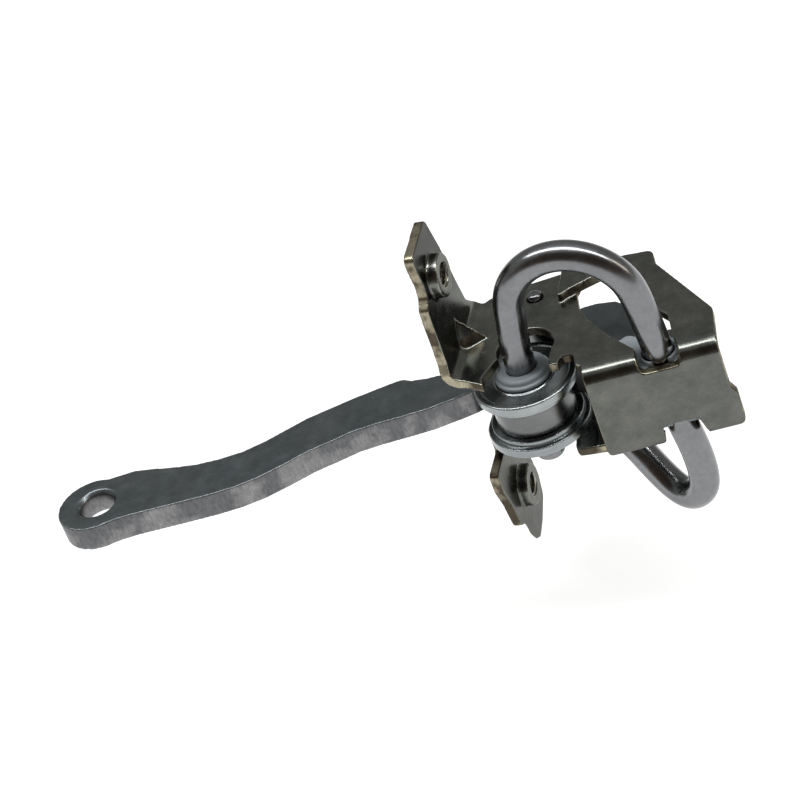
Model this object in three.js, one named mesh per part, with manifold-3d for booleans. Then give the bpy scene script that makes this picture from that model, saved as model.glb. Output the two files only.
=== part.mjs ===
// Door check strap with its bracket, loop spring and guide rollers.
// Millimetres, +Z up. X points into the door, away from the faces of the two
// bolting ears; the origin lies on those faces, midway between the two holes.
import * as THREE from 'three';
import * as BufferGeometryUtils from 'three/addons/utils/BufferGeometryUtils.js';
import { ConvexGeometry } from 'three/addons/geometries/ConvexGeometry.js';
import Module from 'manifold-3d';

// ---- driving dimensions -------------------------------------------------
const GAP = 0.3;                    // clearance between touching pieces
const SHEET = 3;                    // bracket steel
const EAR_YAW = 12 * Math.PI / 180; // ears against the channel's web
const AXIS_IN = 21.5;               // roller axis behind the ear faces
const AXIS_OFF = 10.75;             // roller axis beside the origin
const HALF_H = 16;                  // channel, axis to the top face
const LOW_H = 16.5;                 // and to the bottom face
const WEB_FACE = -17;               // outer face of the web
const WEB_X0 = 18, WEB_X1 = 57.4;   // ends of the web
const WEB_TAB = 58.9;               // lower corner of the web
const WEB_BEND = 5;                 // outer bend radius of the channel
const EAR_BEND = 3;                 // inner bend radius of the ears
const HOLE_UP = { w: 6.5, z: 43.5 };
const HOLE_LOW = { w: 15, z: -43.5 };
const THREAD_R = 3.5, COLLAR_R = 6.5, COLLAR_H = 3.4;
const ARM_T = 8;                    // strap thickness
const EYE = { x: -134.2, y: -2.3, r: 11.4, hole: 5.2, hx: -133.5, hy: -2 };
const WIRE_R = 4.5;
const LEG = { x: 40.1, y: -9.2 };   // straight leg of the spring
const REAR = { x: 6.1, y: 27.4 };   // rear roller axis
const LOOP = { top: 49.7, r: 18.9, s: 21.1 }; // upper loop, centre line
const SPIGOT = 2.2;                 // rear end of the wire, through the top plate
const DRUM_R = 12, RIM_R = 15.5, STEP_R = 13.9, GROOVE = 9, ROLLER_H = 18.8;
const HUB_R = 7.3, HUB_TOP = 12.6;
const REAR_R = 6.3;
const SEG = 48;

// ---- manifold helpers ---------------------------------------------------
const wasm = await Module();
wasm.setup();

function solid(geometry) {
  const g = geometry.clone();
  g.deleteAttribute('normal');
  g.deleteAttribute('uv');
  const m = BufferGeometryUtils.mergeVertices(g, 1e-4);
  return new wasm.Manifold(new wasm.Mesh({
    numProp: 3,
    vertProperties: new Float32Array(m.attributes.position.array),
    triVerts: new Uint32Array(m.index.array),
  }));
}

function geometry(man) {
  const mesh = man.getMesh();
  const pos = new Float32Array((mesh.vertProperties.length / mesh.numProp) * 3);
  for (let i = 0, n = pos.length / 3; i < n; i++)
    for (let k = 0; k < 3; k++) pos[3 * i + k] = mesh.vertProperties[i * mesh.numProp + k];
  const g = new THREE.BufferGeometry();
  g.setAttribute('position', new THREE.BufferAttribute(pos, 3));
  g.setIndex(new THREE.BufferAttribute(new Uint32Array(mesh.triVerts), 1));
  g.computeVertexNormals();
  return g;
}

// rounded polygon: points are [x, y] or [x, y, radius]
function outline(points) {
  const out = [];
  const n = points.length;
  for (let i = 0; i < n; i++) {
    const [x, y, r = 0] = points[i];
    if (!r) { out.push(new THREE.Vector2(x, y)); continue; }
    const p = new THREE.Vector2(x, y);
    const a = new THREE.Vector2(points[(i + n - 1) % n][0], points[(i + n - 1) % n][1]).sub(p);
    const b = new THREE.Vector2(points[(i + 1) % n][0], points[(i + 1) % n][1]).sub(p);
    const la = a.length(), lb = b.length();
    a.divideScalar(la); b.divideScalar(lb);
    const half = Math.acos(Math.max(-1, Math.min(1, a.dot(b)))) / 2;
    const t = Math.min(r / Math.tan(half), la * 0.48, lb * 0.48);
    const rr = t * Math.tan(half);
    const mid = a.clone().add(b).normalize().multiplyScalar(rr / Math.sin(half)).add(p);
    const s = a.clone().multiplyScalar(t).add(p), e = b.clone().multiplyScalar(t).add(p);
    let a0 = Math.atan2(s.y - mid.y, s.x - mid.x), a1 = Math.atan2(e.y - mid.y, e.x - mid.x);
    while (a1 - a0 > Math.PI) a1 -= 2 * Math.PI;
    while (a1 - a0 < -Math.PI) a1 += 2 * Math.PI;
    const k = Math.max(2, Math.ceil(Math.abs(a1 - a0) / 0.3));
    for (let j = 0; j <= k; j++) {
      const q = a0 + (a1 - a0) * j / k;
      out.push(new THREE.Vector2(mid.x + rr * Math.cos(q), mid.y + rr * Math.sin(q)));
    }
  }
  return out;
}

function prism(points, z0, z1, raw = false) {
  const shape = new THREE.Shape(raw ? points : outline(points));
  const g = new THREE.ExtrudeGeometry(shape, { depth: z1 - z0, bevelEnabled: false, steps: 1 });
  g.translate(0, 0, z0);
  return g;
}

function rod(r, z0, z1, x = 0, y = 0, seg = SEG) {
  const g = new THREE.CylinderGeometry(r, r, z1 - z0, seg);
  g.rotateX(Math.PI / 2);
  g.translate(x, y, (z0 + z1) / 2);
  return g;
}

// lathe about Z: closed profile of [radius, z]
function turned(profile, x = 0, y = 0, seg = SEG) {
  const pts = profile.map(([r, z]) => new THREE.Vector2(r, z));
  if (profile[0][0] > 0) pts.push(pts[0].clone());
  const g = new THREE.LatheGeometry(pts, seg);
  g.rotateX(Math.PI / 2);
  g.translate(x, y, 0);
  return g;
}

function fixWinding(g) {
  const m = BufferGeometryUtils.mergeVertices((() => { const c = g.clone(); c.deleteAttribute('normal'); c.deleteAttribute('uv'); return c; })(), 1e-4);
  const p = m.attributes.position.array, t = m.index.array;
  let v = 0;
  for (let i = 0; i < t.length; i += 3) {
    const [a, b, c] = [t[i] * 3, t[i + 1] * 3, t[i + 2] * 3];
    v += p[a] * (p[b + 1] * p[c + 2] - p[b + 2] * p[c + 1]) - p[a + 1] * (p[b] * p[c + 2] - p[b + 2] * p[c]) + p[a + 2] * (p[b] * p[c + 1] - p[b + 1] * p[c]);
  }
  if (v < 0) for (let i = 0; i < t.length; i += 3) { const s = t[i]; t[i] = t[i + 1]; t[i + 1] = s; }
  return m;
}
const lathe = (profile, x, y, seg) => solid(fixWinding(turned(profile, x, y, seg)));

// channel coordinates (X along the web, origin on the front roller axis)
// to the row frame
const CHANNEL = new THREE.Matrix4().makeRotationZ(EAR_YAW).setPosition(AXIS_IN, -AXIS_OFF, 0);
const inChannel = (g) => g.applyMatrix4(CHANNEL);

// ---- bracket ------------------------------------------------------------
// one stamping: two plates, a web, two ears, drawn collars and ribs
function bentLine(w) { // channel-frame point on the ear's bend line
  const c = Math.cos(EAR_YAW), s = Math.sin(EAR_YAW), n = AXIS_IN - (SHEET + EAR_BEND);
  return [-n * c + w * s, n * s + w * c];
}
const [blx0, bly0] = bentLine(-8), [blx1, bly1] = bentLine(28.6);
const plateOutline = [
  [blx0, bly0, 0], [-10.6, -9.3, 1.5], [8.6, -7.6, 0], [11.6, -7.8, 0.6], [12.3, -5, 1.6], [16, -5, 1.6], [16.4, -10.6, 0.6],
  [WEB_X0, -11.8, 0], [WEB_X1, -11.8, 0], [57.6, 0.2, 4], [42.8, 29.2, 3], [42.3, 36.2, 2.2], [31.5, 37.6, 3],
  [2, 34.6, 12], [-7.5, 32.6, 3], [blx1, bly1, 0],
];
const lowerPlateOutline = [bentLine(10.6), [-8.4, 7.6, 0], [-5, 2, 0], [8.6, -10.4, 0], [14, -11.2, 0], ...plateOutline.slice(7)];
const relief = (flare) => { // slot for the front hub, open to the front
  const p = [[-10.8, -20], [-10.8, -5.6], [-8.5, -2], [-6.3, 1.4]].map(([x, y]) => new THREE.Vector2(x, y));
  for (let i = 0; i <= 14; i++) {
    const q = Math.PI * (1.1 - i * (1.1 / 14));
    p.push(new THREE.Vector2(2.3 + 8.7 * Math.cos(q), 4 + 8.7 * Math.sin(q)));
  }
  p.push(new THREE.Vector2(8.9, -4));
  if (flare) p.push(new THREE.Vector2(8.6, -8.8), new THREE.Vector2(9.2, -10.2), new THREE.Vector2(11, -11.6), new THREE.Vector2(11, -20));
  else p.push(new THREE.Vector2(8.6, -20));
  return p;
};
const windowIn = (wall) => [ // opening over the spring, up to its side wall
  [18.6, 25.5, 1], [20.5, 30.6, 2], [30, 31, 4], [35, 19, 8], [41, 7, 3], [wall - 0.7, 2, 1.5], [wall, -8, 0], [46.6, -19, 0],
  [34, -19, 0], [34, -10, 1.5], [27.4, -1.2, 4], [22.4, 7.3, 5], [19, 15.6, 2],
];
// strip at the rear of the upper plate, raised by one thickness
const strip = [[13.2, 20.8, 0.6], [16.2, 22.8, 4], [21.8, 25.2, 4], [31, 28.6, 1.5], [32.6, 36.8, 2], [15.5, 35.2, 2]];
function plate(z0, z1, edge, flare) {
  let m = solid(inChannel(prism(edge, z0, z1)));
  m = m.subtract(solid(inChannel(prism(relief(flare), z0 - 1, z1 + 1, true))));
  m = m.subtract(solid(inChannel(prism(windowIn(flare ? 46.4 : 45.2), z0 - 1, z1 + 1))));
  return m;
}
function channelSection() {
  const H = HALF_H, B = LOW_H, R = WEB_BEND, r = WEB_BEND - SHEET, y0 = WEB_FACE, yi = y0 + R;
  const p = [];
  const arc = (cz, rad, a0, a1) => { for (let i = 0; i <= 6; i++) { const a = a0 + (a1 - a0) * i / 6; p.push([yi + rad * Math.cos(a), cz + rad * Math.sin(a)]); } };
  p.push([yi + 1, H]);
  arc(H - R, R, Math.PI / 2, Math.PI);
  arc(-B + R, R, Math.PI, 1.5 * Math.PI);
  p.push([yi + 1, -B], [yi + 1, -B + SHEET]);
  arc(-B + R, r, 1.5 * Math.PI, Math.PI);
  arc(H - R, r, Math.PI, Math.PI / 2);
  p.push([yi + 1, H - SHEET]);
  return p.map(([y, z]) => new THREE.Vector2(y, z));
}
function along(shapePts, x0, x1) { // extrude a (y, z) section along X
  const g = new THREE.ExtrudeGeometry(new THREE.Shape(shapePts), { depth: x1 - x0, bevelEnabled: false, steps: 1 });
  g.applyMatrix4(new THREE.Matrix4().makeBasis(new THREE.Vector3(0, 1, 0), new THREE.Vector3(0, 0, 1), new THREE.Vector3(1, 0, 0)));
  g.translate(x0, 0, 0);
  return g;
}
function across(shapePts, y0, y1) { // extrude an (x, z) section along Y
  const g = new THREE.ExtrudeGeometry(new THREE.Shape(shapePts), { depth: y1 - y0, bevelEnabled: false, steps: 1 });
  g.applyMatrix4(new THREE.Matrix4().makeBasis(new THREE.Vector3(1, 0, 0), new THREE.Vector3(0, 0, 1), new THREE.Vector3(0, -1, 0)));
  g.translate(0, y1, 0);
  return g;
}
function web() {
  let m = solid(inChannel(along(channelSection(), WEB_X0, WEB_TAB)));
  const trim = outline([[10, -20], [WEB_X0 - 1, -20], [WEB_X0, -13, 0], [18.8, -15.8, 1.5], [21.5, -18], [33.4, -18], [35.2, -14, 1], [35.2, -8.2, 2],
    [46, -8.2, 2], [47.4, -13.5, 0], [47.8, -16.6], [WEB_TAB, -16.6, 5], [WEB_TAB, -3, 2.5], [WEB_X1, -0.4, 1], [WEB_X1, 20], [46, 20], [46, 11.3, 2], [34, 11.3, 2], [34, 20], [10, 20]]);
  return m.intersect(solid(inChannel(across(trim, -30, 0))));
}
function ear(sign, pts, hole, dart) {
  const half = sign > 0 ? HALF_H : LOW_H;
  const c = SHEET + EAR_BEND, zc = half + EAR_BEND, p = [];
  p.push([c + 2, half]);
  for (let i = 0; i <= 6; i++) { const a = -Math.PI / 2 - i * Math.PI / 12; p.push([c + EAR_BEND * Math.cos(a), zc + EAR_BEND * Math.sin(a)]); }
  p.push([SHEET, 70], [0, 70]);
  for (let i = 0; i <= 8; i++) { const a = Math.PI + i * Math.PI / 16; p.push([c + c * Math.cos(a), zc + c * Math.sin(a)]); }
  p.push([c + 2, half - SHEET]);
  const section = p.map(([x, z]) => new THREE.Vector2(x, sign * z));
  let m = solid(fixWinding(across(section, -30, 30)));
  const o = outline(pts.map(([w, z, r]) => [w - AXIS_OFF, z, r]));
  m = m.intersect(solid(fixWinding(along(o, -1, 12))));
  const y = hole.w - AXIS_OFF;
  const ring = (r, x0, x1) => { const g = new THREE.CylinderGeometry(r, r, x1 - x0, SEG); g.rotateZ(Math.PI / 2); g.translate((x0 + x1) / 2, y, hole.z); return solid(g); };
  m = m.add(ring(COLLAR_R, 1.5, SHEET + COLLAR_H));
  // dart pressed into the bend
  const h = sign * (half - HALF_H);
  const peak = [[2.6, dart - 1.2, sign * 26.4 + h], [11, dart + 0.8, sign * 15.5 + h], [2.7, dart - 6, sign * 15.4 + h], [2.7, dart + 4.6, sign * 15.4 + h]];
  m = m.add(solid(new ConvexGeometry(peak.map(([x, w, z]) => new THREE.Vector3(x, w - AXIS_OFF, z)))));
  return m.subtract(ring(THREAD_R, -2, 12));
}
const upperEar = ear(1, [[-8, 12], [-8, 18, 2], [-6.6, 22, 3], [-6.4, 33, 2], [-6, 40.4, 1.5], [-3, 42.8, 1.5], [-2.3, 46.5, 2], [-3.3, 52, 3], [-3.6, 57.2, 2],
  [14.9, 57.9, 2.5], [18.7, 45, 3], [21.6, 30, 4], [23.5, 21.9, 3], [28.6, 17, 1], [28.6, 12]], HOLE_UP, 10.6);
let lowerEar = ear(-1, [[10.6, -12], [10.6, -26.1, 1.2], [-0.8, -26.2, 1.2], [-0.8, -33, 3], [1.7, -40, 3], [3.1, -47.5, 2], [3.8, -50, 0.8],
  [6.5, -51.5, 0.8], [7.2, -56.5, 2], [10, -61.2, 2], [14, -63.8, 2], [20, -62.4, 4], [27.6, -58.6, 3], [29.7, -52.1, 3], [28.6, -44, 4], [28, -34, 4], [28.6, -12]], HOLE_LOW, 16.5);
// the lower tip is bevelled on its outer side
const bevel = [[-51.4, 6.2], [-66, 12.8]].flatMap(([z, w]) => [[2.6, w, z], [-0.2, w + 4.4, z], [-2, w + 4.4, z], [-2, w - 5, z], [2.6, w - 5, z]]);
lowerEar = lowerEar.subtract(solid(new ConvexGeometry(bevel.map(([x, w, z]) => new THREE.Vector3(x, w - AXIS_OFF, z)))));

let bracketSolid = plate(HALF_H - SHEET, HALF_H, plateOutline, false).add(plate(-LOW_H, -LOW_H + SHEET, lowerPlateOutline, true)).add(web()).add(upperEar).add(lowerEar);
bracketSolid = bracketSolid.add(solid(inChannel(prism(strip, HALF_H - 0.4, HALF_H + SHEET - 0.2))));
bracketSolid = bracketSolid.subtract(solid(inChannel(rod(WIRE_R + 0.6, -20, 0, REAR.x, REAR.y, 32))));
bracketSolid = bracketSolid.subtract(solid(inChannel(rod(SPIGOT + 0.3, 0, 20, REAR.x, REAR.y, 32))));

// ---- strap --------------------------------------------------------------
const strapPts = [];
const P = (x, y) => strapPts.push(new THREE.Vector2(x, y));
for (let i = 0; i <= 18; i++) { // eye end
  const q = (292 - i * 12.4) * Math.PI / 180;
  P(EYE.x + EYE.r * Math.cos(q), EYE.y + EYE.r * Math.sin(q));
}
[[-122.5, 9.1], [-115, 7.5], [-108, 5.6], [-102, 4.6], [-95.5, 4.4], [-88, 5.1], [-81, 7.4], [-68.1, 13.4], [-54, 17.4], [-44, 19.7], [-40, 20.5], [-38, 20.4],
  [-35.6, 18.9], [-31, 18.1], [-27, 18.1], [-21, 17.4], [-12.7, 17.4], [-4, 18.9], [4.2, 20.4]].forEach(([x, y]) => P(x, y));
for (let i = 0; i <= 8; i++) { // seat of the rear roller
  const q = (-92 + i * 10.5) * Math.PI / 180;
  P(REAR.x + (REAR_R + 0.4) * Math.cos(q), REAR.y + (REAR_R + 0.4) * Math.sin(q));
}
[[13.9, 30.6], [15.2, 32.6], [17.6, 33.6], [22.4, 33.8], [27.8, 32.4], [31.4, 28.6], [33.4, 22], [33.6, 14], [31.4, 7.4], [27, 3.2], [21.5, 1.6], [16, 1.8], [13, 3]].forEach(([x, y]) => P(x, y));
for (let i = 0; i <= 12; i++) { // seat of the front roller
  const q = (22 + i * 7.9) * Math.PI / 180;
  P(12.45 * Math.cos(q), 12.45 * Math.sin(q));
}
[[-11, 8.9], [-17.5, 5.7], [-23, 4.4], [-31, 2.8], [-38, 2.3], [-47, 1.9], [-54, 1.1], [-60.4, -1], [-67.7, -3.1], [-75.3, -6.6], [-82.6, -9.5], [-90, -11.2],
  [-97.3, -11.8], [-105, -11.9], [-112.5, -11.9], [-122, -11.9], [-127.5, -12.3]].forEach(([x, y]) => P(x, y));
let strapSolid = solid(fixWinding(prism(strapPts, -ARM_T / 2, ARM_T / 2, true)));
strapSolid = strapSolid.subtract(solid(rod(EYE.hole, -10, 10, EYE.hx, EYE.hy)));
for (const s of [1, -1]) {
  const cone = new THREE.CylinderGeometry(s > 0 ? EYE.hole + 1.5 : EYE.hole - 0.5, s > 0 ? EYE.hole - 0.5 : EYE.hole + 1.5, 2, SEG);
  cone.rotateX(Math.PI / 2); cone.translate(EYE.hx, EYE.hy, s * (ARM_T / 2 - 0.7));
  strapSolid = strapSolid.subtract(solid(cone));
}

// ---- spring wire --------------------------------------------------------
class Route extends THREE.Curve {
  constructor(pts) { super(); this.c = new THREE.CatmullRomCurve3(pts, false, 'centripetal'); }
  getPoint(t, target) { return this.c.getPoint(t, target); }
}
function wire(pts, steps) {
  const n = 20, sec = [];
  for (let i = 0; i < n; i++) sec.push(new THREE.Vector2(WIRE_R * Math.cos(2 * Math.PI * i / n), WIRE_R * Math.sin(2 * Math.PI * i / n)));
  return solid(fixWinding(new THREE.ExtrudeGeometry(new THREE.Shape(sec), { steps, bevelEnabled: false, extrudePath: new Route(pts) })));
}
const V = (x, y, z) => new THREE.Vector3(x, y, z);
const L = Math.hypot(LEG.x, LEG.y);
const up = (s, z) => V(LEG.x * s / L, LEG.y * s / L, z);
const ZC = LOOP.top - LOOP.r;
const upperPts = [up(0, -20.5), up(0, -8), up(0, 4), up(0, 14), up(0.8, ZC - 8)];
for (let i = 0; i <= 10; i++) { const q = Math.PI * (1 - i / 10); upperPts.push(up(LOOP.s + LOOP.r * Math.cos(q), ZC + LOOP.r * Math.sin(q))); }
upperPts.push(up(L - 0.5, ZC - 8), up(L, 14), up(L, 6), up(L, GAP / 2));
const upperWire = wire(upperPts, 72);
const K = Math.hypot(REAR.x - LEG.x, REAR.y - LEG.y);
const low = (s, z) => V(LEG.x + (REAR.x - LEG.x) * s / K, LEG.y + (REAR.y - LEG.y) * s / K, z);
const LOWER = [[0, -GAP / 2], [0, -6], [0, -11.5], [-0.9, -15.5], [-2, -20], [-2.7, -25.5], [-2.7, -31.2], [-1.1, -37.4], [2.6, -42], [7.2, -44.5], [12.6, -43.5],
  [19.2, -38.5], [25.4, -32.4], [32, -28.4], [40, -26], [46.2, -23.4], [K - 0.1, -18.6], [K, -13], [K, -4], [K, 4], [K, 12.6]];
const lowerWire = wire(LOWER.map(([s, z]) => low(s, z)), 80).add(solid(rod(SPIGOT, 12, 17.5, REAR.x, REAR.y, 32)));

// ---- front roller -------------------------------------------------------
const G2 = GROOVE / 2, RH = ROLLER_H / 2, BORE = HUB_R;
const drum = lathe([[BORE, -G2 + 0.1], [DRUM_R, -G2 + 0.1], [DRUM_R, G2 - 0.1], [BORE, G2 - 0.1]]);
const flange = (s) => lathe([[BORE, s * (G2 + 0.2)], [STEP_R, s * (G2 + 0.2)], [STEP_R, s * 6.4], [RIM_R - 0.4, s * 6.4], [RIM_R, s * 6.8], [RIM_R, s * (RH - 0.5)], [RIM_R - 0.5, s * RH], [BORE, s * RH]]);
const hub = (s) => lathe([[WIRE_R + 0.3, s * 0.15], [HUB_R - 0.3, s * 0.15], [HUB_R - 0.3, s * (RH + 0.1)], [8.5, s * (RH + GAP)], [8.5, s * (RH + 1.2)], [HUB_R + 0.3, s * (RH + 1.5)], [HUB_R + 0.3, s * (HUB_TOP - 0.7)], [HUB_R - 0.4, s * HUB_TOP], [WIRE_R + 0.3, s * HUB_TOP]]);
// ---- rear roller --------------------------------------------------------
const rearRoller = lathe([[WIRE_R + 0.3, -8.2], [REAR_R - 0.4, -8.2], [REAR_R, -7.8], [REAR_R, 7.8], [REAR_R - 0.4, 8.2], [WIRE_R + 0.3, 8.2]], REAR.x, REAR.y);
const rearWasher = (s, top) => lathe([[WIRE_R + 0.3, s * 8.5], [8, s * 8.5], [8, s * 10.2], [6.6, s * 10.6], [6.6, s * top], [WIRE_R + 0.3, s * top]], REAR.x, REAR.y);
// ---- guide block of the straight leg ------------------------------------
let blockSolid = solid(prism([[32.6, -13.7, 1], [48.4, -13.7, 1], [48.4, -4.6, 3], [44, -1.6, 3], [37, -1.6, 3], [32.6, -4.6, 3]], -11.4, 10.8));
blockSolid = blockSolid.add(solid(rod(WIRE_R + 1.1, 10, HALF_H - SHEET - GAP, LEG.x, LEG.y, 40)).intersect(solid(prism([[30, -13.7], [50, -13.7], [50, 5], [30, 5]], 9, 14))));
blockSolid = blockSolid.add(solid(prism([[28.4, -1.5, 1], [28, 2.4, 1.5], [31.5, 4.6, 1.5], [35.2, 1.6, 1.5], [36.6, -4, 0], [33.2, -7, 0]], 7, 10.8)));
blockSolid = blockSolid.subtract(solid(rod(WIRE_R + 0.3, -20, 20, LEG.x, LEG.y)));

// ---- scene graph --------------------------------------------------------
const mat = (color, roughness, metalness) => new THREE.MeshStandardMaterial({ color, roughness, metalness });
const zinc = () => mat(0x8f8d86, 0.42, 0.9), armSteel = () => mat(0x6c7274, 0.5, 0.85), spring = () => mat(0x9a9ba0, 0.22, 1), roll = () => mat(0x8f9095, 0.3, 0.95), plastic = () => mat(0x8d9aa2, 0.5, 0);
const assembly = new THREE.Group();
function add(name, man, material, parent) {
  const mesh = new THREE.Mesh(geometry(man), material);
  mesh.name = name;
  parent.add(mesh);
}
add('bracket', bracketSolid, zinc(), assembly);
const channel = new THREE.Group();
channel.rotation.z = EAR_YAW;
channel.position.set(AXIS_IN, -AXIS_OFF, 0);
assembly.add(channel);
add('check_arm', strapSolid, armSteel(), channel);
add('spring_upper_loop', upperWire, spring(), channel);
add('spring_lower_loop', lowerWire, spring(), channel);
add('spring_guide_block', blockSolid, plastic(), channel);
add('front_roller_drum', drum, roll(), channel);
add('front_roller_upper_flange', flange(1), roll(), channel);
add('front_roller_lower_flange', flange(-1), roll(), channel);
add('front_upper_bush', hub(1), plastic(), channel);
add('front_lower_bush', hub(-1), plastic(), channel);
add('rear_roller', rearRoller, roll(), channel);
add('rear_upper_washer', rearWasher(1, HALF_H - SHEET - GAP), plastic(), channel);
add('rear_lower_washer', rearWasher(-1, LOW_H - SHEET - GAP), plastic(), channel);

export default assembly;
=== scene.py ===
import math
import bpy
import bmesh
from mathutils import Vector, Matrix


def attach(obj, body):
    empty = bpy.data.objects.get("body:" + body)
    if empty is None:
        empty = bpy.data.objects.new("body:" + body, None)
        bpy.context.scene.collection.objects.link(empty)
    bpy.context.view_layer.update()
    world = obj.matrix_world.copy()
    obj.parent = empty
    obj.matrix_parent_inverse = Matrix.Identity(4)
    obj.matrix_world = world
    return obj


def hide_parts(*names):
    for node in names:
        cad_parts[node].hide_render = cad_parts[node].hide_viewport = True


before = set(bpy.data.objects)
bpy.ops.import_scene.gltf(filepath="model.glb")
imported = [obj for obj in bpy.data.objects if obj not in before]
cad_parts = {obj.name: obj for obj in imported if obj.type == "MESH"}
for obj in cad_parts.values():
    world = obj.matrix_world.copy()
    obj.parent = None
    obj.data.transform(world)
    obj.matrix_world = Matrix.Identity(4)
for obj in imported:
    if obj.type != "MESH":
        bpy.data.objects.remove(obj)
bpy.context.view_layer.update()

# ---------------------------------------------------------------- frame maths
YAW = math.radians(12.0)
CY, SY = math.cos(YAW), math.sin(YAW)
OX, OY = 21.5, -10.75


def W(x, y, z):
    """channel coordinates in mm -> row frame in metres"""
    return Vector(((x * CY - y * SY + OX) / 1000, (x * SY + y * CY + OY) / 1000, z / 1000))


def new_object(name, mesh):
    o = bpy.data.objects.new(name, mesh)
    bpy.context.scene.collection.objects.link(o)
    return o


def applied(o):
    """replace the object's mesh by its evaluated one"""
    dg = bpy.context.evaluated_depsgraph_get()
    m = bpy.data.meshes.new_from_object(o.evaluated_get(dg))
    old = o.data
    o.modifiers.clear()
    o.data = m
    if old.users == 0:
        bpy.data.meshes.remove(old)
    return o


def smooth(o, angle=None):
    for p in o.data.polygons:
        p.use_smooth = True
    if angle is not None:
        o.data.set_sharp_from_angle(angle=math.radians(angle))


# ---------------------------------------------------------------- mesh makers
def catmull(points, n):
    """centripetal Catmull-Rom through points, n samples at equal arc length"""
    P = [Vector(p) for p in points]
    P = [P[0] * 2 - P[1]] + P + [P[-1] * 2 - P[-2]]
    dense = []
    for i in range(1, len(P) - 2):
        p0, p1, p2, p3 = P[i - 1], P[i], P[i + 1], P[i + 2]
        t0 = 0.0
        t1 = t0 + max((p1 - p0).length, 1e-9) ** 0.5
        t2 = t1 + max((p2 - p1).length, 1e-9) ** 0.5
        t3 = t2 + max((p3 - p2).length, 1e-9) ** 0.5
        for k in range(24):
            t = t1 + (t2 - t1) * k / 24
            a1 = p0 * ((t1 - t) / (t1 - t0)) + p1 * ((t - t0) / (t1 - t0))
            a2 = p1 * ((t2 - t) / (t2 - t1)) + p2 * ((t - t1) / (t2 - t1))
            a3 = p2 * ((t3 - t) / (t3 - t2)) + p3 * ((t - t2) / (t3 - t2))
            b1 = a1 * ((t2 - t) / (t2 - t0)) + a2 * ((t - t0) / (t2 - t0))
            b2 = a2 * ((t3 - t) / (t3 - t1)) + a3 * ((t - t1) / (t3 - t1))
            dense.append(b1 * ((t2 - t) / (t2 - t1)) + b2 * ((t - t1) / (t2 - t1)))
    dense.append(P[-2].copy())
    s = [0.0]
    for a, b in zip(dense, dense[1:]):
        s.append(s[-1] + (b - a).length)
    out, j = [], 0
    for i in range(n + 1):
        d = s[-1] * i / n
        while j < len(s) - 2 and s[j + 1] < d:
            j += 1
        u = (d - s[j]) / max(s[j + 1] - s[j], 1e-12)
        out.append(dense[j].lerp(dense[j + 1], min(max(u, 0), 1)))
    for _ in range(28):
        out = [out[0]] + [out[i - 1] * 0.25 + out[i] * 0.5 + out[i + 1] * 0.25 for i in range(1, n)] + [out[-1]]
    return out


def wire(name, points, radius, n=220, sides=40, dome0=0.0, dome1=0.0):
    """round wire; dome rounds an end off over that length"""
    path = catmull(points, n)
    tang = [(path[min(i + 1, n)] - path[max(i - 1, 0)]).normalized() for i in range(n + 1)]
    ref = Vector((0, 1, 0)) if abs(tang[0].y) < 0.9 else Vector((1, 0, 0))
    u = (ref - tang[0] * ref.dot(tang[0])).normalized()
    rings = []
    for i in range(n + 1):
        u = (u - tang[i] * u.dot(tang[i])).normalized()
        rings.append((path[i], tang[i], u.copy(), 1.0))

    def cap(end, length):
        p, t, uu, _ = rings[0] if end == 0 else rings[-1]
        d = -t if end == 0 else t
        extra = []
        steps = 7
        base = p - d * length
        for k in range(1, steps + 1):
            a = math.pi / 2 * k / steps
            extra.append((base + d * length * math.sin(a), t, uu, 0.55 + 0.45 * math.cos(a) if k < steps else 0.55))
        return base, extra

    if dome0:
        base, extra = cap(0, dome0)
        keep = [r for r in rings if (r[0] - base).dot(rings[0][1]) > 1e-5]
        rings = list(reversed(extra)) + [(base, rings[0][1], rings[0][2], 1.0)] + keep
    if dome1:
        base, extra = cap(1, dome1)
        keep = [r for r in rings if (base - r[0]).dot(rings[-1][1]) > 1e-5 or (base - r[0]).length > 0.02]
        rings = keep + [(base, rings[-1][1], rings[-1][2], 1.0)] + extra
    bm = bmesh.new()
    layers = []
    for p, t, uu, k in rings:
        v = t.cross(uu)
        layers.append([bm.verts.new(p + (uu * math.cos(2 * math.pi * j / sides) + v * math.sin(2 * math.pi * j / sides)) * radius * k) for j in range(sides)])
    for a, b in zip(layers, layers[1:]):
        for j in range(sides):
            bm.faces.new((a[j], a[(j + 1) % sides], b[(j + 1) % sides], b[j]))
    for ring, flip in ((layers[0], True), (layers[-1], False)):
        c = bm.verts.new(sum((v.co for v in ring), Vector()) / sides)
        for j in range(sides):
            f = (ring[(j + 1) % sides], ring[j], c) if flip else (ring[j], ring[(j + 1) % sides], c)
            bm.faces.new(f)
    bmesh.ops.recalc_face_normals(bm, faces=bm.faces)
    m = bpy.data.meshes.new(name)
    bm.to_mesh(m)
    bm.free()
    o = new_object(name, m)
    smooth(o, 50)
    return o


def fillet(profile, n=4):
    """profile: [(r, z, fillet)] closed; returns points with rounded corners"""
    out = []
    k = len(profile)
    for i in range(k):
        r, z, f = profile[i]
        p = Vector((r, z))
        if not f:
            out.append(p)
            continue
        a = Vector(profile[i - 1][:2]) - p
        b = Vector(profile[(i + 1) % k][:2]) - p
        la, lb = a.length, b.length
        a.normalize()
        b.normalize()
        t = min(f, la * 0.48, lb * 0.48)
        for j in range(n + 1):
            q = j / n
            out.append((p + a * t) * (1 - q) ** 2 + p * (2 * q * (1 - q)) + (p + b * t) * q ** 2)
    return out


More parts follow.
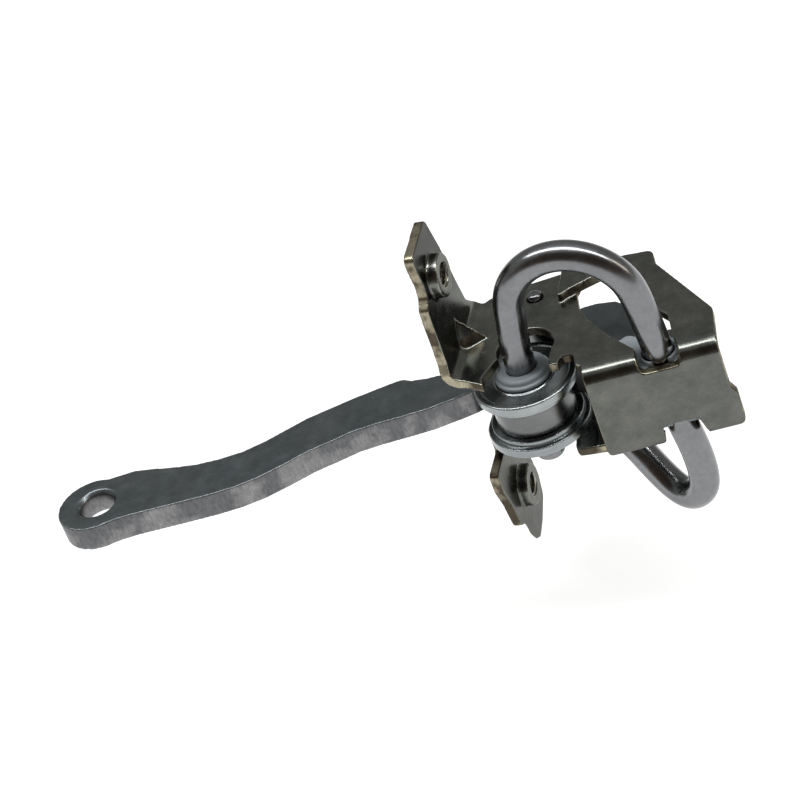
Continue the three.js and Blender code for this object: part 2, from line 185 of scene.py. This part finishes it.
def turned(name, profile, cx, cy, seg=128, n=4):
    """closed ring section turned about a vertical axis at channel position (cx, cy)"""
    pts = fillet(profile, n)
    bm = bmesh.new()
    rings = []
    for p in pts:
        rings.append([bm.verts.new(W(cx + p.x * math.cos(2 * math.pi * j / seg), cy + p.x * math.sin(2 * math.pi * j / seg), p.y)) for j in range(seg)])
    for i in range(len(rings)):
        a, b = rings[i], rings[(i + 1) % len(rings)]
        for j in range(seg):
            bm.faces.new((a[j], a[(j + 1) % seg], b[(j + 1) % seg], b[j]))
    bmesh.ops.recalc_face_normals(bm, faces=bm.faces)
    m = bpy.data.meshes.new(name)
    bm.to_mesh(m)
    bm.free()
    o = new_object(name, m)
    smooth(o, 40)
    return o


def from_node(name, node):
    o = new_object(name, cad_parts[node].data.copy())
    o.data.materials.clear()
    return o


def welded(o, voxel, rounds=4, factor=0.5):
    """one even skin with softly broken edges"""
    r = o.modifiers.new("skin", "REMESH")
    r.mode = "VOXEL"
    r.voxel_size = voxel
    r.adaptivity = 0.0
    s = o.modifiers.new("edges", "SMOOTH")
    s.factor = factor
    s.iterations = rounds
    applied(o)
    smooth(o)
    return o


def mark_cut(o, rule):
    """store how far each point belongs to a sheared face, 0 to 1"""
    me = o.data
    at = me.attributes.new("cut", "FLOAT", "POINT")
    nrm = me.vertex_normals
    out = []
    for v in me.vertices:
        p, n = v.co, nrm[v.index].vector
        x, y = p.x * 1000 - OX, p.y * 1000 - OY
        out.append(rule(p.x * 1000, p.y * 1000 + 10.75, x * CY + y * SY, -x * SY + y * CY, p.z * 1000,
                        n.x, n.y, n.x * CY + n.y * SY, -n.x * SY + n.y * CY, n.z))
    at.data.foreach_set("value", out)


def mark_painted_shade(o, rule):
    """store how much painted shade darkens each point, 0 to 1"""
    me = o.data
    at = me.attributes.new("painted_shade", "FLOAT", "POINT")
    nrm = me.vertex_normals
    out = []
    for v in me.vertices:
        p, n = v.co, nrm[v.index].vector
        x, y = p.x * 1000 - OX, p.y * 1000 - OY
        out.append(rule(p.x * 1000, -x * SY + y * CY, p.z * 1000, n.x, -n.x * SY + n.y * CY))
    at.data.foreach_set("value", out)


def step(a, b, v):
    t = min(max((v - a) / (b - a), 0.0), 1.0)
    return t * t * (3 - 2 * t)


# painted shade: darkens the ears' inner faces, most on the upper ear, and the front face of the web
def bracket_painted_shade(xr, yw, z, nxr, nyw):
    if xr < 5.5 and abs(z) > 19.5:
        return step(0.2, 0.8, nxr) * (step(27, 37, z) if z > 0 else 0.35 * step(20, 27, -z))
    if yw < -12.5:
        return 0.55 * step(0.3, 0.9, -nyw)
    return 0.0


def bracket_cut(xr, w, xw, yw, z, nxr, nyr, nxw, nyw, nz):
    a = abs(z)
    if xr < 7.5 and a > 19.5:
        hole = math.hypot(w - (6.5 if z > 0 else 15), a - 43.5)
        if (hole < 8 and xr > 2.5) or (a < 30 and xr > 3.15):
            return 0.0
        return 1 - abs(nxr)
    if xr < 6.2:
        return abs(nyr)
    if yw < -11.9:
        return max(abs(nxw), abs(nz) if a < 12 and yw < -13.4 else 0.0)
    return 1 - abs(nz)


# ---------------------------------------------------------------- materials
def nodes_of(name):
    m = bpy.data.materials.new(name)
    m.use_nodes = True
    nt = m.node_tree
    b = nt.nodes["Principled BSDF"]
    return m, nt, b


def link(nt, a, ao, b, bi):
    nt.links.new(a.outputs[ao], b.inputs[bi])


def noise(nt, coord, scale, detail=4.0, rough=0.55, vec=None):
    n = nt.nodes.new("ShaderNodeTexNoise")
    n.inputs["Scale"].default_value = scale
    n.inputs["Detail"].default_value = detail
    n.inputs["Roughness"].default_value = rough
    if vec is not None:
        mp = nt.nodes.new("ShaderNodeMapping")
        mp.inputs["Scale"].default_value = vec
        nt.links.new(coord, mp.inputs["Vector"])
        nt.links.new(mp.outputs["Vector"], n.inputs["Vector"])
    else:
        nt.links.new(coord, n.inputs["Vector"])
    return n


def ramp(nt, src, stops):
    r = nt.nodes.new("ShaderNodeValToRGB")
    el = r.color_ramp.elements
    while len(el) < len(stops):
        el.new(0.5)
    for e, (p, c) in zip(el, stops):
        e.position = p
        e.color = (*c, 1) if len(c) == 3 else c
    nt.links.new(src, r.inputs["Fac"])
    return r


def grey(v):
    return (v, v, v)


def mix(nt, fac, a, b, mode="MIX"):
    n = nt.nodes.new("ShaderNodeMix")
    n.data_type = "RGBA"
    n.blend_type = mode
    if isinstance(fac, float):
        n.inputs[0].default_value = fac
    else:
        nt.links.new(fac, n.inputs[0])
    for i, v in ((6, a), (7, b)):
        if isinstance(v, tuple):
            n.inputs[i].default_value = (*v, 1)
        else:
            nt.links.new(v, n.inputs[i])
    return n.outputs[2]


def math_node(nt, op, a, b=None):
    n = nt.nodes.new("ShaderNodeMath")
    n.operation = op
    for i, v in ((0, a), (1, b)):
        if v is None:
            continue
        if isinstance(v, (int, float)):
            n.inputs[i].default_value = v
        else:
            nt.links.new(v, n.inputs[i])
    return n.outputs[0]


def steel(name, base, tint, rough, spread, grain=(1, 1, 1), grain_scale=900.0, bump=0.12, spots=0.35, edge=0.0, edge_col=(0.7, 0.7, 0.66), sheared=None, mottle=0.16, rim=1.0):
    """plated or drawn steel: clouded plating, fine grain, dark specks, worn edges, sheared cut faces and, with them,
    painted shade from a point attribute
    """
    m, nt, b = nodes_of(name)
    tc = nt.nodes.new("ShaderNodeTexCoord").outputs["Object"]
    cloud = noise(nt, tc, 48.0, 5.0, 0.6)
    patch = noise(nt, tc, 190.0, 6.0, 0.66)
    fine = noise(nt, tc, grain_scale, 3.0, 0.6, grain)
    spot = noise(nt, tc, 420.0, 5.0, 0.75)
    c1 = ramp(nt, cloud.outputs["Fac"], [(0.30, base), (0.72, tint)])
    p1 = ramp(nt, patch.outputs["Fac"], [(0.30, grey(1.0 - mottle)), (0.70, grey(1.0 + mottle))])
    col = mix(nt, 1.0, c1.outputs["Color"], p1.outputs["Color"], "MULTIPLY")
    s1 = ramp(nt, spot.outputs["Fac"], [(0.60, grey(0.0)), (0.74, grey(1.0))])
    dark = tuple(v * 0.45 for v in base)
    sp = math_node(nt, "MULTIPLY", s1.outputs["Color"], spots)
    col = mix(nt, sp, col, dark)
    g1 = ramp(nt, fine.outputs["Fac"], [(0.32, grey(0.93)), (0.68, grey(1.06))])
    col = mix(nt, 1.0, col, g1.outputs["Color"], "MULTIPLY")
    if edge:
        geo = nt.nodes.new("ShaderNodeNewGeometry")
        e = ramp(nt, geo.outputs["Pointiness"], [(0.515, grey(0.0)), (0.60, grey(1.0))])
        brk = ramp(nt, noise(nt, tc, 140.0, 4.0, 0.6).outputs["Fac"], [(0.35, grey(0.35)), (0.62, grey(1.0))])
        f = math_node(nt, "MULTIPLY", math_node(nt, "MULTIPLY", e.outputs["Color"], brk.outputs["Color"]), edge)
        col = mix(nt, f, col, edge_col)
    rr = nt.nodes.new("ShaderNodeMapRange")
    rr.inputs["From Min"].default_value = 0.3
    rr.inputs["From Max"].default_value = 0.7
    rr.inputs["To Min"].default_value = rough - spread
    rr.inputs["To Max"].default_value = rough + spread
    nt.links.new(patch.outputs["Fac"], rr.inputs["Value"])
    rgh = rr.outputs["Result"]
    h = math_node(nt, "ADD", math_node(nt, "MULTIPLY", fine.outputs["Fac"], 0.6), math_node(nt, "MULTIPLY", patch.outputs["Fac"], 0.4))
    if sheared:
        at = nt.nodes.new("ShaderNodeAttribute")
        at.attribute_name = "cut"
        cut = ramp(nt, at.outputs["Fac"], [(0.35, grey(0.0)), (0.75, grey(1.0))]).outputs["Color"]
        band = noise(nt, tc, 85.0, 3.0, 0.6)
        tear = noise(nt, tc, 1500.0, 3.0, 0.7, sheared[2])
        sc = ramp(nt, band.outputs["Fac"], [(0.45, sheared[1]), (0.54, sheared[0]), (0.70, tuple(v * 1.25 for v in sheared[0]))])
        tr = ramp(nt, tear.outputs["Fac"], [(0.35, grey(0.80)), (0.65, grey(1.15))])
        sc2 = mix(nt, 1.0, sc.outputs["Color"], tr.outputs["Color"], "MULTIPLY")
        col = mix(nt, cut, col, sc2)
        # painted shade: a point attribute darkens the colour to as little as half
        painted_shade_node = nt.nodes.new("ShaderNodeAttribute")
        painted_shade_node.attribute_name = "painted_shade"
        k = ramp(nt, painted_shade_node.outputs["Fac"], [(0.0, grey(1.0)), (1.0, grey(0.50))])
        col = mix(nt, 1.0, col, k.outputs["Color"], "MULTIPLY")
        rgh = math_node(nt, "ADD", rgh, math_node(nt, "MULTIPLY", cut, 0.10))
        h = math_node(nt, "ADD", h, math_node(nt, "MULTIPLY", math_node(nt, "MULTIPLY", cut, tear.outputs["Fac"]), 1.2))
    nt.links.new(col, b.inputs["Base Color"])
    b.inputs["Metallic"].default_value = 1.0
    b.inputs["Specular Tint"].default_value = (rim, rim, rim, 1)
    nt.links.new(rgh, b.inputs["Roughness"])
    bp = nt.nodes.new("ShaderNodeBump")
    bp.inputs["Strength"].default_value = bump
    bp.inputs["Distance"].default_value = 0.00008
    nt.links.new(h, bp.inputs["Height"])
    nt.links.new(bp.outputs["Normal"], b.inputs["Normal"])
    return m


def plastic(name, base, tint):
    m, nt, b = nodes_of(name)
    tc = nt.nodes.new("ShaderNodeTexCoord").outputs["Object"]
    cloud = noise(nt, tc, 90.0, 4.0, 0.5)
    grain = noise(nt, tc, 2200.0, 2.0, 0.5)
    c1 = ramp(nt, cloud.outputs["Fac"], [(0.3, base), (0.7, tint)])
    nt.links.new(c1.outputs["Color"], b.inputs["Base Color"])
    b.inputs["Metallic"].default_value = 0.0
    rr = ramp(nt, cloud.outputs["Fac"], [(0.3, grey(0.42)), (0.7, grey(0.55))])
    nt.links.new(rr.outputs["Color"], b.inputs["Roughness"])
    bp = nt.nodes.new("ShaderNodeBump")
    bp.inputs["Strength"].default_value = 0.15
    bp.inputs["Distance"].default_value = 0.00006
    nt.links.new(grain.outputs["Fac"], bp.inputs["Height"])
    nt.links.new(bp.outputs["Normal"], b.inputs["Normal"])
    return m


M_ZINC = steel("zinc_plating", (0.139, 0.146, 0.133), (0.182, 0.186, 0.169), 0.24, 0.06, edge=0.7, edge_col=(0.50, 0.48, 0.40), bump=0.12, rim=0.60, sheared=((0.31, 0.28, 0.205), (0.075, 0.062, 0.045), (1, 1, 0.25)))
M_ARM = steel("arm_plating", (0.126, 0.145, 0.153), (0.158, 0.175, 0.182), 0.34, 0.05, edge=0.6, edge_col=(0.42, 0.44, 0.45), bump=0.16, mottle=0.10, sheared=((0.208, 0.208, 0.212), (0.133, 0.136, 0.141), (1, 1, 0.35)))
M_WIRE = steel("drawn_wire", (0.179, 0.185, 0.194), (0.226, 0.229, 0.234), 0.225, 0.05, grain_scale=700.0, bump=0.06, spots=0.25, mottle=0.06)
# one turned steel in two copies: the flanges' copy is painted about twice as light (painted light), the copy for the
# drum and rear sleeve darker (painted shade)
M_TURNED_PAINTED_LIGHT = steel("turned_copy_painted_light", (0.236, 0.259, 0.267), (0.316, 0.342, 0.345), 0.27, 0.05, grain=(1, 1, 9), grain_scale=260.0, bump=0.22, spots=0.2, edge=0.4, edge_col=(0.62, 0.60, 0.57), mottle=0.08)
M_TURNED_PAINTED_SHADE = steel("turned_copy_painted_shade", (0.122, 0.126, 0.129), (0.163, 0.167, 0.166), 0.27, 0.05, grain=(1, 1, 9), grain_scale=260.0, bump=0.22, spots=0.2, edge=0.4, edge_col=(0.62, 0.60, 0.57), mottle=0.08)
M_BUSH = plastic("moulded_bush", (0.180, 0.211, 0.231), (0.231, 0.257, 0.276))

# ---------------------------------------------------------------- pieces
VOX = 0.00036


def wear(piece, body, slot, mat, *replaced):
    piece.data.materials.clear()
    piece.data.materials.append(mat)
    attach(piece, body)
    if replaced:
        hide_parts(*replaced)
    return piece


bracket = welded(from_node("bracket_stamping", "bracket"), VOX, 4, 0.5)
mark_cut(bracket, bracket_cut)
# painted shade on the ears' inner faces and the web's front face
mark_painted_shade(bracket, bracket_painted_shade)
wear(bracket, "bracket", "zinc_plate", M_ZINC, "bracket")


def thread(name, w, z, r=3.5, depth=0.45, pitch=1.25, x0=0.7, x1=5.9, seg=40):
    """internal screw thread: one helical ridge along X"""
    turns = (x1 - x0) / pitch
    n = int(turns * seg)
    bm = bmesh.new()
    rings = []
    for i in range(n + 1):
        a = 2 * math.pi * i / seg
        x = x0 + pitch * i / seg
        k = min(1.0, i / 12, (n - i) / 12) * depth
        rings.append([bm.verts.new(Vector(((x + dx) / 1000, (w - 10.75 + (r + dr) * math.cos(a)) / 1000, (z + (r + dr) * math.sin(a)) / 1000)))
                      for dx, dr in ((-0.5, 0.15), (-0.09, -k), (0.09, -k), (0.5, 0.15))])
    for a, b in zip(rings, rings[1:]):
        for j in range(4):
            bm.faces.new((a[j], a[(j + 1) % 4], b[(j + 1) % 4], b[j]))
    bm.faces.new(rings[0])
    bm.faces.new(list(reversed(rings[-1])))
    bmesh.ops.recalc_face_normals(bm, faces=bm.faces)
    m = bpy.data.meshes.new(name)
    bm.to_mesh(m)
    bm.free()
    o = new_object(name, m)
    smooth(o, 35)
    return o


for nm, w, z in (("upper_ear_thread", 6.5, 43.5), ("lower_ear_thread", 15, -43.5)):
    wear(thread(nm, w, z), "bracket", "zinc_plate", M_ZINC)

arm = welded(from_node("check_strap", "check_arm"), VOX, 4, 0.5)
mark_cut(arm, lambda xr, w, xw, yw, z, nxr, nyr, nxw, nyw, nz: 1 - abs(nz))
wear(arm, "strap", "arm_steel", M_ARM, "check_arm")

LEG = (40.1, -9.2)
REAR = (6.1, 27.4)
L = math.hypot(*LEG)
R_LOOP, S_LOOP, TOP = 18.9, 21.1, 49.7
ZC = TOP - R_LOOP


def up(s, z):
    return W(LEG[0] * s / L, LEG[1] * s / L, z)


pts = [up(0, -20.5), up(0, -8), up(0, 4), up(0, 14), up(0.8, ZC - 8)]
pts += [up(S_LOOP + R_LOOP * math.cos(math.pi * (1 - i / 10)), ZC + R_LOOP * math.sin(math.pi * (1 - i / 10))) for i in range(11)]
pts += [up(L - 0.5, ZC - 8), up(L, 14), up(L, 6), up(L, 0.15)]
upper = wire("spring_upper_wire", pts, 0.0045, n=240, sides=48, dome0=0.0022)
wear(upper, "spring_carriage", "spring_wire", M_WIRE, "spring_upper_loop")

K = math.hypot(REAR[0] - LEG[0], REAR[1] - LEG[1])


def low(s, z):
    return W(LEG[0] + (REAR[0] - LEG[0]) * s / K, LEG[1] + (REAR[1] - LEG[1]) * s / K, z)


LOWER = [(0, -0.15), (0, -6), (0, -11.5), (-0.9, -15.5), (-2, -20), (-2.7, -25.5), (-2.7, -31.2), (-1.1, -37.4), (2.6, -42), (7.2, -44.5), (12.6, -43.5),
         (19.2, -38.5), (25.4, -32.4), (32, -28.4), (40, -26), (46.2, -23.4), (K - 0.1, -18.6), (K, -13), (K, -4), (K, 4), (K, 12.6)]
lower = wire("spring_lower_wire", [low(s, z) for s, z in LOWER], 0.0045, n=260, sides=48)
wear(lower, "bracket", "spring_wire", M_WIRE, "spring_lower_loop")

nub = turned("spring_rear_spigot", [(0.02, 11.8, 0), (2.2, 11.8, 0), (2.2, 16.6, 0.3), (1.7, 17.3, 0.5), (0.8, 17.5, 0.3), (0.02, 17.5, 0)], *REAR, seg=64)
wear(nub, "bracket", "spring_wire", M_WIRE)

# the drum wears the darker, painted-shade copy of the turned steel and the flanges the lighter, painted-light copy
drum = turned("roller_drum", [(7.3, -4.4, 0.3), (12, -4.4, 0.35), (12, 4.4, 0.35), (7.3, 4.4, 0.3)], 0, 0)
wear(drum, "front_roller", "roller_steel", M_TURNED_PAINTED_SHADE, "front_roller_drum")
for s, word in ((1, "upper"), (-1, "lower")):
    f = turned(f"roller_{word}_flange", [(7.3, s * 4.7, 0.2), (13.9, s * 4.7, 0.3), (13.9, s * 6.4, 0.25), (15.4, s * 6.45, 0.35), (15.5, s * 9.35, 0.7), (13.6, s * 9.35, 0.3),
                                             (13.3, s * 9.1, 0.3), (9.2, s * 9.1, 0.3), (8.9, s * 9.4, 0.2), (7.3, s * 9.4, 0.2)], 0, 0)
    wear(f, "front_roller", "roller_steel", M_TURNED_PAINTED_LIGHT, f"front_roller_{word}_flange")
    h = turned(f"hub_{word}", [(4.62, s * 0.15, 0), (7.0, s * 0.15, 0.2), (7.0, s * 9.5, 0), (8.5, s * 9.7, 0.15), (8.5, s * 10.6, 0.35), (7.6, s * 10.9, 0.4), (7.6, s * 11.9, 0.6), (7.1, s * 12.5, 0.7), (4.62, s * 12.5, 0.15)], 0, 0)
    wear(h, "spring_carriage", "bush_plastic", M_BUSH, f"front_{word}_bush")
    t = 12.7 if s > 0 else 13.2
    w_ = turned(f"rear_washer_{word}", [(4.8, s * 8.5, 0.2), (8, s * 8.5, 0.4), (8, s * 10.2, 0.4), (6.6, s * 10.6, 0.3), (6.6, s * t, 0.4), (4.8, s * t, 0.2)], *REAR)
    wear(w_, "bracket", "bush_plastic", M_BUSH, f"rear_{word}_washer")
# the rear sleeve wears the darker, painted-shade copy of the turned steel
rr_ = turned("rear_roller_sleeve", [(4.8, -8.2, 0.2), (6.3, -8.2, 0.5), (6.3, 8.2, 0.5), (4.8, 8.2, 0.2)], *REAR)
wear(rr_, "rear_roller", "roller_steel", M_TURNED_PAINTED_SHADE, "rear_roller")

block = welded(from_node("guide_block", "spring_guide_block"), VOX, 5, 0.5)
wear(block, "bracket", "bush_plastic", M_BUSH, "spring_guide_block")

# ---------------------------------------------------------------- camera
a, e, r = math.radians(12.5), math.radians(34.8), math.radians(21.5)
F_PX, DIST, PX, PY = 3250.0, 0.942, 533.2, 399.6
back = Vector((math.sin(a) * math.cos(e), -math.cos(a) * math.cos(e), math.sin(e)))
right = Vector((math.cos(a), math.sin(a), 0))
upv = back.cross(right)
ix = right * math.cos(r) - upv * math.sin(r)
iy = right * math.sin(r) + upv * math.cos(r)
ox, oy = (PX - 400) / F_PX * DIST, -(PY - 400) / F_PX * DIST
pos = back * DIST - ix * ox - iy * oy
R3 = Matrix.Rotation(YAW, 3, "Z")
rot = Matrix((R3 @ ix, R3 @ iy, R3 @ back)).transposed()
cam_data = bpy.data.cameras.new("camera")
cam_data.sensor_width = 36.0
cam_data.lens = 36.0 * F_PX / 800.0
cam_data.clip_start = 0.05
cam = bpy.data.objects.new("camera", cam_data)
bpy.context.scene.collection.objects.link(cam)
cam.matrix_world = Matrix.Translation(R3 @ pos + Vector((OX, OY, 0)) / 1000) @ rot.to_4x4()
bpy.context.scene.camera = cam

# ---------------------------------------------------------------- stage
fm = bpy.data.meshes.new("floor")
S = 3.0
fm.from_pydata([(-S, -S, 0), (S, -S, 0), (S, S, 0), (-S, S, 0)], [], [(0, 1, 2, 3)])
floor = new_object("floor", fm)
floor.location = (0, 0, -0.078)
m, nt, b = nodes_of("floor_paper")
b.inputs["Base Color"].default_value = (0.36, 0.36, 0.36, 1)
b.inputs["Roughness"].default_value = 0.9
b.inputs["Specular IOR Level"].default_value = 0.1
b.inputs["Emission Color"].default_value = (1, 1, 1, 1)
b.inputs["Emission Strength"].default_value = 0.86
fm.materials.append(m)

# room: pale behind, dim and warm on the viewer's side, as around a light table
world = bpy.data.worlds.new("studio")
world.use_nodes = True
wt = world.node_tree
d = wt.nodes.new("ShaderNodeTexCoord").outputs["Generated"]
sep = wt.nodes.new("ShaderNodeSeparateXYZ")
wt.links.new(d, sep.inputs[0])
dot = wt.nodes.new("ShaderNodeVectorMath")
dot.operation = "DOT_PRODUCT"
wt.links.new(d, dot.inputs[0])
dot.inputs[1].default_value = (0.4147, -0.91, 0.0)
side = wt.nodes.new("ShaderNodeMapRange")
side.interpolation_type = "SMOOTHSTEP"
side.inputs["From Min"].default_value = -0.10
side.inputs["From Max"].default_value = 0.35
wt.links.new(dot.outputs["Value"], side.inputs["Value"])
back_r = ramp(wt, sep.outputs["Z"], [(0.0, (0.36, 0.35, 0.33)), (0.55, (0.30, 0.30, 0.29)), (0.85, (0.46, 0.47, 0.48)), (1.0, (0.5, 0.5, 0.5))])
front_r = ramp(wt, sep.outputs["Z"], [(0.0, (0.42, 0.40, 0.38)), (0.16, (0.105, 0.078, 0.058)), (0.80, (0.070, 0.052, 0.040)), (0.98, (0.30, 0.30, 0.30))])
bg = wt.nodes["Background"]
wt.links.new(mix(wt, side.outputs["Result"], back_r.outputs["Color"], front_r.outputs["Color"]), bg.inputs["Color"])
bg.inputs["Strength"].default_value = 1.0
bpy.context.scene.world = world


def area(name, loc, target, size, power, color=(1, 1, 1), size_y=None):
    ld = bpy.data.lights.new(name, "AREA")
    ld.shape = "RECTANGLE"
    ld.size = size
    ld.size_y = size_y or size
    ld.energy = power
    ld.color = color
    o = bpy.data.objects.new(name, ld)
    bpy.context.scene.collection.objects.link(o)
    o.location = loc
    o.rotation_euler = (Vector(target) - Vector(loc)).to_track_quat("-Z", "Y").to_euler()
    return o


C = (0.02, 0.0, 0.0)
area("overhead_strip", (0.15, -0.02, 1.15), (0.15, 0.0, 0.0), 2.6, 20.0, size_y=0.20)
area("side_right", (1.1, 0.1, 0.5), C, 0.16, 1.3, (1.0, 0.90, 0.76), 0.5)
bpy.context.scene.view_settings.view_transform = "Standard"
